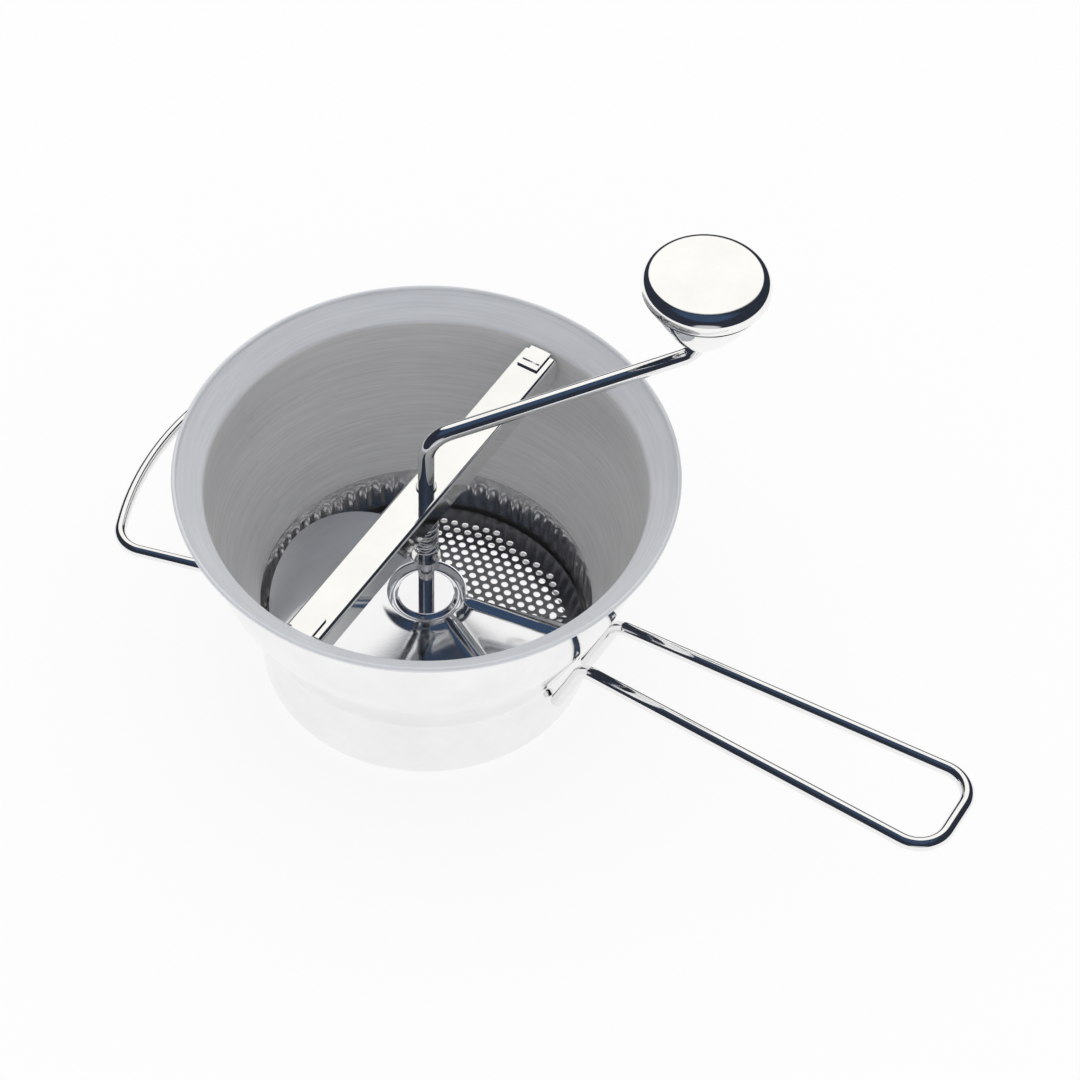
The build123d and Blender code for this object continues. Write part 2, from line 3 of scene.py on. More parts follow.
import bpy
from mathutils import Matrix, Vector


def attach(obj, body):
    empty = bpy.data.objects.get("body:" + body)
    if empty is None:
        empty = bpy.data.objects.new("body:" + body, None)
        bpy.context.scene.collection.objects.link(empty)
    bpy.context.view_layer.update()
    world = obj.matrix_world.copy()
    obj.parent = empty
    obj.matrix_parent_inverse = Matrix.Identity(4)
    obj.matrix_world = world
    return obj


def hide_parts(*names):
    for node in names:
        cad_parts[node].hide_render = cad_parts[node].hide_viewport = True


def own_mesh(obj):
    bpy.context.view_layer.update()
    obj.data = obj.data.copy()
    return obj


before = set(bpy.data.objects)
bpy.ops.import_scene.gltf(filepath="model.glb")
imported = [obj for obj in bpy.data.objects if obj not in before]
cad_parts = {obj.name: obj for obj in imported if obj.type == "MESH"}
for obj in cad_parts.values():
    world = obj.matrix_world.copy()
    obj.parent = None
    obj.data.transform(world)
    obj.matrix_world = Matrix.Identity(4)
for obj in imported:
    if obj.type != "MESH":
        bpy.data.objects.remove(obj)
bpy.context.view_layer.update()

MM = 0.001
SMOOTH, FLUTE_SMOOTH = radians(32), radians(60)

# ---------------------------------------------------------------- sizes, in millimetres
RIM_RADIUS, RIM_HEIGHT, RIM_BEAD = 120.0, 134.0, 2.4
WALL = 1.0
COLLAR_RADIUS, COLLAR_HEIGHT = 81.1, 39.0
THROAT_RADIUS = 105.3
SHOULDER_HEIGHT, FLARE_DEPTH = 92.0, 11.4
FOOT_OPENING = 72.0
FLUTES, FLUTE_RISE, FLUTE_LOW, FLUTE_HIGH = 72, 0.8, 13.0, 36.0
SIEVE_RADIUS, SIEVE_EDGE, SIEVE_SLOPE, SIEVE_BORE = 79.8, 13.0, tan(radians(8.0)), 5.0
SIEVE_FOOT = 2.84
HOLE_PITCH, HOLE_RADIUS, HOLE_TURN = 5.6, 1.8, radians(15.8)
HOLES_FROM, HOLES_TO = 12.0, 70.0
ROD = 4.0
TIP = 2.5
SHAFT_SEAT = 25.21
CRANK_TURN = radians(53.8)
CRANK_REACH, ARM_HEIGHT, ARM_RISE = 138.8, 153.7, tan(radians(2.8))
KNOB = Vector((cos(CRANK_TURN), sin(CRANK_TURN), 0)) * CRANK_REACH
CAP_BOTTOM = 201.0
SPRING_LOW, SPRING_HIGH, SPRING_TURNS = 70.0, 100.6, 6
SPRING_WIRE, SPRING_COIL = 0.75, 5.3
HUB_SEAT, HUB_RADIUS = 39.4, 14.0
ROTOR_SHEET = 1.2
BLADE_RADIUS, BLADE_ROOT, ROOT_HEIGHT = 77.5, 20.5, 41.4
BLADE_START, BLADE_END = 143.0, 396.0   # degrees from +X
EDGE_HEIGHT, EDGE_FALL = 36.0, 7.0
WIPE_TURN, WIPE_GAP = 13.0, 1.7         # the last degrees, where the blade drops to the sieve
ENTRY_TURN, ENTRY_RADIUS = 42.0, 54.0   # the first degrees, where its edge curves in
RIB_ANGLES, RIB_HEIGHT, RIB_SPREAD = (337.0, 378.0), 2.0, 2.2
LEG_FOOT_HEIGHT, LEG_LEAN, LEG_BEND, WELD_GAP = 28.5, radians(21.0), 9.0, 0.15


# ---------------------------------------------------------------- modelling helpers
def clear_selection():
    if bpy.context.object and bpy.context.object.mode != "OBJECT":
        bpy.ops.object.mode_set(mode="OBJECT")
    bpy.ops.object.select_all(action="DESELECT")


def pick(piece):
    clear_selection()
    piece.select_set(True)
    bpy.context.view_layer.objects.active = piece


def rounded(points, radii, turn=radians(6)):
    """The polyline with each inner corner replaced by an arc of its radius."""
    corners = [Vector(point) for point in points]
    line = [corners[0]]
    for before, corner, after, radius in zip(corners, corners[1:], corners[2:], radii):
        inward, outward = (before - corner).normalized(), (after - corner).normalized()
        bend = pi - inward.angle(outward)
        reach = radius * tan(bend / 2)
        start, end = corner + inward * reach, corner + outward * reach
        centre = corner + (inward + outward).normalized() * (radius / cos(bend / 2))
        steps = max(2, round(bend / turn))
        first, last = start - centre, end - centre
        for step in range(steps + 1):
            share = step / steps
            arm = first * sin((1 - share) * bend) + last * sin(share * bend)
            line.append(centre + arm / sin(bend))
    line.append(corners[-1])
    return line


def divided(line, longest):
    """The polyline with its long runs cut up evenly."""
    cut = [line[0]]
    for before, after in zip(line, line[1:]):
        pieces = max(1, round((after - before).length / longest))
        cut += [before.lerp(after, part / pieces) for part in range(1, pieces + 1)]
    return cut


def drawn(name, line):
    """A chain of edges through the points of the line, which are in millimetres."""
    clear_selection()
    bpy.ops.mesh.primitive_plane_add(size=0.01, location=(0, 0, 0))
    piece = bpy.context.object
    piece.name = name
    bpy.ops.object.mode_set(mode="EDIT")
    bpy.ops.mesh.select_all(action="SELECT")
    bpy.ops.mesh.merge(type="CENTER")
    bpy.ops.transform.translate(value=Vector(line[0]) * MM)
    for before, after in zip(line, line[1:]):
        bpy.ops.mesh.extrude_vertices_move(
            TRANSFORM_OT_translate={"value": (Vector(after) - Vector(before)) * MM}
        )
    return piece


def finished(piece, body, material, nodes=(), smooth=SMOOTH):
    """Shading, place in the frame and finish of a piece that stands for CAD nodes."""
    pick(piece)
    bpy.ops.object.shade_smooth_by_angle(angle=smooth)
    piece.data.materials.clear()
    piece.data.materials.append(material)
    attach(piece, body)
    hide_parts(*nodes)
    return piece


def turned(name, profile, steps, centre=(0, 0), closed=False):
    """A shape turned about an upright axis from a profile of (radius, height) points."""
    line = [Vector((centre[0] + p[0], centre[1], p[1])) for p in profile]
    if closed:
        line.append(line[0].copy())
    piece = drawn(name, line)
    bpy.ops.mesh.select_all(action="SELECT")
    bpy.ops.mesh.spin(
        steps=steps, angle=2 * pi, use_auto_merge=True,
        center=(centre[0] * MM, centre[1] * MM, 0), axis=(0, 0, 1),
    )
    bpy.ops.mesh.select_all(action="SELECT")
    bpy.ops.mesh.remove_doubles(threshold=0.00002)
    bpy.ops.mesh.normals_make_consistent(inside=False)
    bpy.ops.object.mode_set(mode="OBJECT")
    return piece


def use_modifier(piece, kind, **settings):
    """Adds a modifier, sets it and applies it."""
    pick(piece)
    modifier = piece.modifiers.new(kind.title(), kind)
    for name, value in settings.items():
        setattr(modifier, name, value)
    bpy.ops.object.modifier_apply(modifier=modifier.name)


def bent_wire(name, line, radius, sides=24):
    """Round wire along a line in millimetres, with closed ends."""
    clear_selection()
    curve = bpy.data.curves.new(name, "CURVE")
    curve.dimensions = "3D"
    curve.bevel_depth = radius * MM
    curve.bevel_resolution = sides // 4 - 1
    curve.use_fill_caps = True
    spline = curve.splines.new("POLY")
    spline.points.add(len(line) - 1)
    for point, place in zip(spline.points, line):
        point.co = (*(Vector(place) * MM), 1)
    wire = bpy.data.objects.new(name, curve)
    bpy.context.scene.collection.objects.link(wire)
    pick(wire)
    bpy.ops.object.convert(target="MESH")
    wire = bpy.context.object
    bpy.ops.object.mode_set(mode="EDIT")
    bpy.ops.mesh.select_all(action="SELECT")
    bpy.ops.mesh.remove_doubles(threshold=0.00001)
    bpy.ops.mesh.normals_make_consistent(inside=False)
    bpy.ops.object.mode_set(mode="OBJECT")
    return wire


# ---------------------------------------------------------------- finishes
def group(name, inputs, outputs):
    """An empty shader node group with float inputs and named outputs."""
    made = bpy.data.node_groups.new(name, "ShaderNodeTree")
    for label, value in inputs:
        socket = made.interface.new_socket(label, in_out="INPUT", socket_type="NodeSocketFloat")
        socket.default_value = value
    for label in outputs:
        made.interface.new_socket(label, in_out="OUTPUT", socket_type="NodeSocketFloat")
    return made, made.nodes.new("NodeGroupInput"), made.nodes.new("NodeGroupOutput")


def wire_up(tree, kind, inputs, **settings):
    """A node with its settings, and its inputs linked or set."""
    node = tree.nodes.new(kind)
    for name, value in settings.items():
        setattr(node, name, value)
    for socket, value in inputs.items():
        if isinstance(value, bpy.types.NodeSocket):
            tree.links.new(value, node.inputs[socket])
        else:
            node.inputs[socket].default_value = value
    return node


def reckon(tree, operation, first, second=0.0):
    """What a math node gives."""
    return wire_up(tree, "ShaderNodeMath", {0: first, 1: second}, operation=operation).outputs[0]


def brushing_group():
    """Fine lines round the object's axis: height and a streak mask."""
    tree, given, put = group(
        "RoundBrushing", [("Lines", 900.0), ("Along", 3.0)], ["Height", "Streaks"]
    )
    place = wire_up(tree, "ShaderNodeTexCoord", {})
    axes = wire_up(tree, "ShaderNodeSeparateXYZ", {0: place.outputs["Object"]}).outputs
    lines = given.outputs["Lines"]
    square_x, square_y = (reckon(tree, "POWER", axes[side], 2.0) for side in "XY")
    radius = reckon(tree, "SQRT", reckon(tree, "ADD", square_x, square_y))
    angle = reckon(tree, "ARCTAN2", axes["Y"], axes["X"])
    spot = wire_up(tree, "ShaderNodeCombineXYZ", {
        0: reckon(tree, "MULTIPLY", radius, lines),
        1: reckon(tree, "MULTIPLY", angle, given.outputs["Along"]),
        2: reckon(tree, "MULTIPLY", axes["Z"], lines)})
    fine = wire_up(tree, "ShaderNodeTexNoise", {
        "Vector": spot.outputs[0], "Scale": 1.0, "Detail": 4.0, "Roughness": 0.65})
    slow = wire_up(tree, "ShaderNodeMapping", {"Vector": spot.outputs[0], "Scale": (0.4, 1.0, 0.4)})
    broad = wire_up(tree, "ShaderNodeTexNoise", {"Vector": slow.outputs[0], "Scale": 1.0, "Detail": 3.0})
    tree.links.new(fine.outputs["Fac"], put.inputs["Height"])
    tree.links.new(broad.outputs["Fac"], put.inputs["Streaks"])
    return tree


def wear_group():
    """Faint handling marks on polished metal: height and a smudge mask."""
    tree, given, put = group("HandlingMarks", [("Size", 40.0)], ["Height", "Smudges"])
    place = wire_up(tree, "ShaderNodeTexCoord", {})
    smudge = wire_up(tree, "ShaderNodeTexNoise", {
        "Vector": place.outputs["Object"], "Scale": given.outputs["Size"], "Detail": 5.0, "Roughness": 0.6})
    fine = wire_up(tree, "ShaderNodeTexNoise", {
        "Vector": place.outputs["Object"], "Scale": 900.0, "Detail": 2.0})
    tree.links.new(fine.outputs["Fac"], put.inputs["Height"])
    tree.links.new(smudge.outputs["Fac"], put.inputs["Smudges"])
    return tree


BRUSHING = brushing_group()
MARKS = wear_group()


def steel(name, colour, roughness, spread=0.04, brushed=0.0, anisotropy=0.0, bump=0.02, deep=0.94,
          metal=1.0):
    """Stainless steel, polished or brushed round the object's axis. Below 1, metal gives a satin share."""
    material = bpy.data.materials.new(name)
    material.use_nodes = True
    tree = material.node_tree
    shader = tree.nodes["Principled BSDF"]
    shader.inputs["Metallic"].default_value = metal
    marks = wire_up(tree, "ShaderNodeGroup", {}, node_tree=MARKS)
    source, height, mask = marks, marks.outputs["Height"], marks.outputs["Smudges"]
    if brushed:
        source = wire_up(tree, "ShaderNodeGroup", {"Lines": brushed}, node_tree=BRUSHING)
        height, mask = source.outputs["Height"], source.outputs["Streaks"]
    rough = wire_up(tree, "ShaderNodeMapRange", {
        "Value": mask, "From Min": 0.3, "From Max": 0.7,
        "To Min": max(0.01, roughness - spread), "To Max": roughness + spread})
    tree.links.new(rough.outputs[0], shader.inputs["Roughness"])
    tint = wire_up(tree, "ShaderNodeMapRange", {
        "Value": mask, "From Min": 0.3, "From Max": 0.7, "To Min": deep, "To Max": 1.0})
    shade = wire_up(tree, "ShaderNodeMix", {0: 1.0, 6: (*colour, 1), 7: tint.outputs[0]},
                    data_type="RGBA", blend_type="MULTIPLY")
    tree.links.new(shade.outputs[2], shader.inputs["Base Color"])
    lift = wire_up(tree, "ShaderNodeBump", {"Height": height, "Strength": bump, "Distance": 0.0002})
    tree.links.new(lift.outputs[0], shader.inputs["Normal"])
    if anisotropy:
        shader.inputs["Anisotropic"].default_value = anisotropy
        shader.inputs["Anisotropic Rotation"].default_value = 0.25
        tangent = wire_up(tree, "ShaderNodeTangent", {}, direction_type="RADIAL", axis="Z")
        tree.links.new(tangent.outputs[0], shader.inputs["Tangent"])
    return material


BOWL_INSIDE = steel("BrushedBowlSteel", (0.93, 0.93, 0.93), 0.40, 0.05, brushed=2600.0, anisotropy=0.85,
                    bump=0.06, deep=0.86, metal=0.45)
RIM_BAND = steel("BrushedRimSteel", (0.86, 0.88, 0.92), 0.46, 0.05, brushed=2600.0, anisotropy=0.8,
                 bump=0.06, deep=0.90, metal=0.35)
# The collar is the bowl's own sheet. Its darker colour is painted shade, for the collar deep in the bowl
# under the rotor.
COLLAR_STEEL_PAINTED_SHADE = steel("FlutedCollarPaintedShade", (0.62, 0.62, 0.63), 0.18, 0.04, metal=0.9)
BOWL_OUTSIDE = steel("PolishedBowlSteel", (0.93, 0.93, 0.93), 0.10, 0.03)
# The sieve plate is one steel. Its top is darker than the plain underside as painted shade, for the plate
# lying in shade at the bottom of the bowl.
SIEVE_TOP_PAINTED_SHADE = steel("SieveTopPaintedShade", (0.42, 0.42, 0.43), 0.20, 0.05)
SIEVE_UNDER = steel("SieveUnderSteel", (0.92, 0.92, 0.92), 0.16, 0.04)
BAR_STEEL = steel("BarSteel", (0.93, 0.93, 0.92), 0.05, 0.02)
ROTOR_STEEL = steel("RotorSteel", (0.88, 0.89, 0.92), 0.08, 0.03)
WIRE_STEEL = steel("WireSteel", (0.90, 0.90, 0.90), 0.05, 0.02)
KNOB_STEEL = steel("KnobSteel", (0.94, 0.94, 0.93), 0.04, 0.015)
SPRING_STEEL = steel("SpringSteel", (0.80, 0.80, 0.81), 0.10, 0.03)
SMALL_STEEL = steel("TurnedSteel", (0.80, 0.80, 0.80), 0.14, 0.04)


def nylon_finish():
    material = bpy.data.materials.new("BushNylon")
    material.use_nodes = True
    tree = material.node_tree
    shader = tree.nodes["Principled BSDF"]
    marks = wire_up(tree, "ShaderNodeGroup", {"Size": 120.0}, node_tree=MARKS)
    rough = wire_up(tree, "ShaderNodeMapRange", {
        "Value": marks.outputs["Smudges"], "To Min": 0.45, "To Max": 0.65})
    tree.links.new(rough.outputs[0], shader.inputs["Roughness"])
    tone = wire_up(tree, "ShaderNodeValToRGB", {"Fac": marks.outputs["Smudges"]})
    tone.color_ramp.elements[0].color = (0.76, 0.76, 0.73, 1)
    tone.color_ramp.elements[1].color = (0.84, 0.84, 0.82, 1)
    tree.links.new(tone.outputs["Color"], shader.inputs["Base Color"])
    return material


BUSH_NYLON = nylon_finish()

# ---------------------------------------------------------------- bowl
bowl_face = rounded(
    [
        (FOOT_OPENING, WALL, 0),
        (COLLAR_RADIUS, WALL, 0),
        (COLLAR_RADIUS, COLLAR_HEIGHT, 0),
        (THROAT_RADIUS, SHOULDER_HEIGHT, 0),
        (THROAT_RADIUS, RIM_HEIGHT - FLARE_DEPTH, 0),
        (RIM_RADIUS - RIM_BEAD / 2, RIM_HEIGHT - RIM_BEAD / 2 + WALL / 2, 0),
    ],
    [5.0, 26.0, 60.0, 4.0],
    turn=radians(4),
)
bowl = turned("bowl_shell", divided(bowl_face, 2.4), FLUTES * 6)
use_modifier(bowl, "SOLIDIFY", thickness=WALL * MM, offset=-1.0)


def flute(piece):
    """Presses the upright flutes into the collar's inner face."""
    for vertex in piece.data.vertices:
        x, y, z = vertex.co / MM
        radius = hypot(x, y)
        if not FLUTE_LOW < z < FLUTE_HIGH or vertex.normal.x * x + vertex.normal.y * y > -0.3 * radius:
            continue
        fade = min(1, (z - FLUTE_LOW) / 3, (FLUTE_HIGH - z) / 12)
        crest = 0.5 + 0.5 * cos(FLUTES * atan2(y, x))
        scale = 1 - FLUTE_RISE * fade * crest / radius
        vertex.co.x *= scale
        vertex.co.y *= scale


flute(bowl)
clear_selection()
bpy.ops.mesh.primitive_torus_add(
    major_segments=FLUTES * 4, minor_segments=20, location=(0, 0, (RIM_HEIGHT - RIM_BEAD / 2) * MM),
    major_radius=(RIM_RADIUS - RIM_BEAD / 2) * MM, minor_radius=RIM_BEAD / 2 * MM,
)
bead = bpy.context.object
bpy.ops.object.transform_apply(location=True)
bead.name = "rim_bead"
finished(bowl, "pot", BOWL_INSIDE, ["bowl"], smooth=FLUTE_SMOOTH)
bowl.data.materials.append(BOWL_OUTSIDE)
bowl.data.materials.append(COLLAR_STEEL_PAINTED_SHADE)
bowl.data.materials.append(RIM_BAND)
for face in bowl.data.polygons:
    out = Vector((face.center.x, face.center.y, 0)).normalized()
    below_rim = face.center.z < (RIM_HEIGHT - FLARE_DEPTH) * MM
    if face.normal.dot(out) > 0.05 or (not below_rim and face.normal.z < 0):
        face.material_index = 1
    # The inner collar faces take the steel darkened with painted shade.
    elif face.center.z < COLLAR_HEIGHT * MM:
        face.material_index = 2
    elif not below_rim:
        face.material_index = 3
finished(bead, "pot", RIM_BAND)

# ---------------------------------------------------------------- sieve
def sieve_top(radius):
    return SIEVE_EDGE + (SIEVE_RADIUS - radius) * SIEVE_SLOPE


sieve_face = rounded(
    [(SIEVE_BORE, sieve_top(SIEVE_BORE), 0), (SIEVE_RADIUS, SIEVE_EDGE, 0), (SIEVE_RADIUS, SIEVE_FOOT, 0)],
    [1.6], turn=radians(12),
)
sieve = turned("sieve_plate", divided(sieve_face, 8.0), 144)
use_modifier(sieve, "SOLIDIFY", thickness=WALL * MM, offset=-1.0)


def sieve_holes():
    """Staggered hole centres, in millimetres."""
    row_step = HOLE_PITCH * sqrt(3) / 2
    reach = int(HOLES_TO / row_step) + 2
    places = []
    for row in range(-reach, reach + 1):
        for column in range(-reach, reach + 1):
            x, y = (column + row % 2 / 2) * HOLE_PITCH, row * row_step
            if HOLES_FROM < hypot(x, y) < HOLES_TO:
                turn_x = x * cos(HOLE_TURN) - y * sin(HOLE_TURN)
                turn_y = x * sin(HOLE_TURN) + y * cos(HOLE_TURN)
                places.append((turn_x, turn_y))
    return places


def punch(piece, places, radius, low, high, sides=14):
    """Cuts upright round holes, all from one copied punch."""
    clear_selection()
    bpy.ops.mesh.primitive_cylinder_add(
        vertices=sides, radius=radius * MM, depth=(high - low) * MM, location=(0, 0, (high + low) / 2 * MM)
    )
    first = bpy.context.object
    bpy.ops.object.transform_apply(location=True)
    copies = []
    for x, y in places:
        other = first.copy()
        other.data = first.data.copy()
        other.location = (x * MM, y * MM, 0)
        bpy.context.scene.collection.objects.link(other)
        copies.append(other)
    bpy.data.objects.remove(first)
    clear_selection()
    for other in copies:
        other.select_set(True)
    bpy.context.view_layer.objects.active = copies[0]
    bpy.ops.object.join()
    cutter = bpy.context.object
    bpy.ops.object.transform_apply(location=True)
    use_modifier(piece, "BOOLEAN", object=cutter, operation="DIFFERENCE", solver="EXACT")
    bpy.data.objects.remove(cutter)


punch(sieve, sieve_holes(), HOLE_RADIUS, 5.0, 40.0)
finished(sieve, "pot", SIEVE_TOP_PAINTED_SHADE, ["sieve_disc"])
sieve.data.materials.append(SIEVE_UNDER)
# Faces turned down or sideways take the plain steel, and the top keeps the colour with painted shade.
for face in sieve.data.polygons:
    if face.normal.z < 0.5:
        face.material_index = 1

# ---------------------------------------------------------------- rotor
centre_face = rounded(
    [
        (ROD + 0.05, HUB_SEAT, 0), (HUB_RADIUS, HUB_SEAT, 0), (16.2, 38.4, 0), (19.2, 42.2, 0),
        (23.0, ROOT_HEIGHT, 0),
    ],
    [1.4, 1.2, 1.4], turn=radians(15),
)


def wiped(height, radius, angle):
    """The height, brought down to the sieve over the blade's last degrees."""
    past = angle - (BLADE_END - WIPE_TURN)
    if past <= 0:
        return height
    return height + (sieve_top(radius) + WIPE_GAP - height) * past / WIPE_TURN


def blade_height(radius, angle):
    """Height of the plain blade, straight from its root to its falling outer edge."""
    share = min((angle - BLADE_START) / (BLADE_END - WIPE_TURN - BLADE_START), 1)
    edge = wiped(EDGE_HEIGHT - EDGE_FALL * share, BLADE_RADIUS, angle)
    root = wiped(ROOT_HEIGHT, BLADE_ROOT, angle)
    return root + (edge - root) * (radius - BLADE_ROOT) / (BLADE_RADIUS - BLADE_ROOT)


def blade_reach(angle):
    past = (angle - BLADE_START) / ENTRY_TURN
    if past >= 1:
        return BLADE_RADIUS
    return BLADE_RADIUS - (BLADE_RADIUS - ENTRY_RADIUS) * (1 - past) ** 2


def rib_height(radius, angle):
    """Rounded radial ribs pressed up out of the blade."""
    height = 0
    for rib in RIB_ANGLES:
        off = radius * radians(angle - rib) / RIB_SPREAD
        height += RIB_HEIGHT * exp(-off * off)
    return height * min(1, max(0, (radius - 19) / 4))


def rotor_sheet():
    stations = [(p.x, p.y) for p in divided(centre_face, 3.0)]
    stations += [(radius, 41.0) for radius in (*range(26, 76, 3), BLADE_RADIUS)]
    piece = turned("rotor_sheet", stations, 480)
    pick(piece)
    doomed = []
    for vertex in piece.data.vertices:
        x, y = vertex.co.x / MM, vertex.co.y / MM
        radius = hypot(x, y)
        angle = degrees(atan2(y, x)) % 360
        if angle < BLADE_END - 360 + 0.01:
            angle += 360
        if radius > BLADE_ROOT + 1.5:
            if angle < BLADE_START - 0.01:
                doomed.append(vertex.index)
                continue
            share = (radius - BLADE_ROOT) / (BLADE_RADIUS - BLADE_ROOT)
            reach = BLADE_ROOT + (blade_reach(angle) - BLADE_ROOT) * share
            vertex.co.x *= reach / radius
            vertex.co.y *= reach / radius
            vertex.co.z = (blade_height(reach, angle) + rib_height(reach, angle)) * MM
        elif radius > 18:
            vertex.co.z += rib_height(radius, angle) * MM
    for parts in (piece.data.vertices, piece.data.edges, piece.data.polygons):
        parts.foreach_set("select", [False] * len(parts))
    for index in doomed:
        piece.data.vertices[index].select = True
    bpy.ops.object.mode_set(mode="EDIT")
    bpy.ops.mesh.delete(type="VERT")
    bpy.ops.mesh.select_all(action="SELECT")
    bpy.ops.mesh.normals_make_consistent(inside=False)
    bpy.ops.object.mode_set(mode="OBJECT")
    if piece.data.polygons[0].normal.z < 0:
        bpy.ops.object.mode_set(mode="EDIT")
        bpy.ops.mesh.flip_normals()
        bpy.ops.object.mode_set(mode="OBJECT")
    use_modifier(piece, "SOLIDIFY", thickness=ROTOR_SHEET * MM, offset=-1.0)
    return piece


rotor = rotor_sheet()
finished(rotor, "crank", ROTOR_STEEL, ["rotor_blade"])

# ---------------------------------------------------------------- crank and knob
crank_line = rounded(
    [
        Vector((0, 0, SHAFT_SEAT)),
        Vector((0, 0, ARM_HEIGHT)),
        Vector((KNOB.x, KNOB.y, ARM_HEIGHT + CRANK_REACH * ARM_RISE)),
        Vector((KNOB.x, KNOB.y, CAP_BOTTOM)),
    ],
    [12.0, 10.0], turn=radians(4),
)
crank = bent_wire("crank_wire", crank_line, ROD, sides=48)
tip = turned("shaft_tip", [(0.01, SHAFT_SEAT - 9), (TIP, SHAFT_SEAT - 9), (TIP, SHAFT_SEAT)], 32)
clear_selection()
tip.select_set(True)
crank.select_set(True)
bpy.context.view_layer.objects.active = crank
bpy.ops.object.join()
finished(crank, "crank", WIRE_STEEL, ["crank_rod"])

cap_face = rounded([(0.01, 214.0, 0), (14.0, 213.9, 0), (27.4, 211.6, 0)], [90.0], turn=radians(1.5))
cap_edge = [
    (29.2, 210.1), (30.4, 208.0), (30.9, 205.4), (30.6, 203.6), (29.8, 202.1), (28.6, CAP_BOTTOM),
]
cap_profile = [(p[0], p[1]) for p in divided(cap_face, 3.0)] + cap_edge
cap = turned("knob_dome", cap_profile, 96, centre=(KNOB.x, KNOB.y))
use_modifier(cap, "SOLIDIFY", thickness=1.0 * MM, offset=-1.0)
use_modifier(cap, "SUBSURF", levels=1, render_levels=1)
finished(cap, "knob", KNOB_STEEL, ["knob_cap"])

cup_profile = [
    (6.6, 172.0), (9.6, 172.0), (10.2, 172.3), (12.5, 174.6), (15.4, 178.4), (18.2, 182.5), (20.5, 186.4),
    (22.6, 190.6), (24.4, 194.8), (25.7, 198.4), (26.4, 200.0), (28.4, 200.4),
]
cup = turned("knob_cone", cup_profile, 96, centre=(KNOB.x, KNOB.y))
use_modifier(cup, "SOLIDIFY", thickness=0.9 * MM, offset=-1.0)
use_modifier(cup, "SUBSURF", levels=1, render_levels=1)
finished(cup, "knob", KNOB_STEEL, ["knob_cup"])

# ---------------------------------------------------------------- wire handles
def leg_reaches(wire, top):
    """How far from the bowl's axis a leg's foot and its top corner stand, for a wire's radius."""
    foot = COLLAR_RADIUS + WALL + WELD_GAP + wire * cos(LEG_LEAN)
    return foot, foot + (top - LEG_FOOT_HEIGHT) * tan(LEG_LEAN)


def mirrored(line):
    return [Vector((p.x, -p.y, p.z)) for p in reversed(line)]


def long_handle_line(wire=3.4, foot_half=14.0, root_half=15.9, root_height=65.4):
    """Up from the collar, out, round the end and back."""
    foot, top = leg_reaches(wire, root_height)
    side = [
        Vector((sqrt(foot ** 2 - foot_half ** 2), foot_half, LEG_FOOT_HEIGHT)),
        Vector((sqrt(top ** 2 - root_half ** 2), root_half, root_height)),
        Vector((286.0, 24.0, 69.2)),
    ]
    bends = [LEG_BEND, 15.0]
    return rounded(side + mirrored(side), bends + bends[::-1], turn=radians(5))


handle = bent_wire("long_handle_wire", long_handle_line(), 3.4, sides=40)
finished(handle, "pot", WIRE_STEEL, ["long_handle"])


def helper_handle_line(wire=3.0, height=69.0, radius=150.5, corner=14.0):
    """A bow round the bowl, joined to two splayed rods and their legs by bends."""
    splay, root_turn = radians(15.6), radians(38.0)
    foot, top = leg_reaches(wire, height)
    toward_root = Vector((-cos(root_turn), sin(root_turn), 0))
    root = [toward_root * foot + Vector((0, 0, LEG_FOOT_HEIGHT)), toward_root * top + Vector((0, 0, height))]
    outward = Vector((-cos(splay), sin(splay), 0))
    inward = Vector((-outward.y, outward.x, 0))
    start = Vector((root[1].x, root[1].y, 0)) + inward * corner
    along = start.dot(outward)
    reach = sqrt(along ** 2 + (radius - corner) ** 2 - start.dot(start)) - along
    centre = start + outward * reach
    bow_start = centre * (radius / (radius - corner))
    rod_end = centre - inward * corner
    half = rounded(root + [Vector((rod_end.x, rod_end.y, height))], [LEG_BEND], turn=radians(5))
    first, last = rod_end - centre, bow_start - centre
    bend = first.angle(last)
    for step in range(1, 19):
        share = step / 18
        arm = (first * sin((1 - share) * bend) + last * sin(share * bend)) / sin(bend)
        half.append(Vector((centre.x + arm.x, centre.y + arm.y, height)))
    opening = atan2(bow_start.y, -bow_start.x)
    for step in range(1, 30):
        angle = opening * (1 - step / 30)
        half.append(Vector((-radius * cos(angle), radius * sin(angle), height)))
    middle = Vector((-radius, 0, height))
    return half + [middle] + mirrored(half)


helper = bent_wire("helper_handle_wire", helper_handle_line(), 3.0, sides=40)
finished(helper, "pot", WIRE_STEEL, ["helper_handle"])


# ---------------------------------------------------------------- spring
def spring_line():
    """Centre line of the coil with its ends standing upright on the washers."""
    low, high = SPRING_LOW + 3.0, SPRING_HIGH - 3.0
    line = [Vector((SPRING_COIL, -1.5, SPRING_LOW)), Vector((SPRING_COIL, -1.4, SPRING_LOW + 1.6))]
    for step in range(SPRING_TURNS * 32 + 1):
        angle = 2 * pi * step / 32
        height = low + (high - low) * step / (SPRING_TURNS * 32)
        line.append(Vector((SPRING_COIL * cos(angle), SPRING_COIL * sin(angle), height)))
    line += [Vector((SPRING_COIL, 1.4, SPRING_HIGH - 1.6)), Vector((SPRING_COIL, 1.5, SPRING_HIGH))]
    return line


spring = bent_wire("pressure_coil", spring_line(), SPRING_WIRE, sides=16)
finished(spring, "pot", SPRING_STEEL, ["pressure_spring"])
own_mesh(spring)

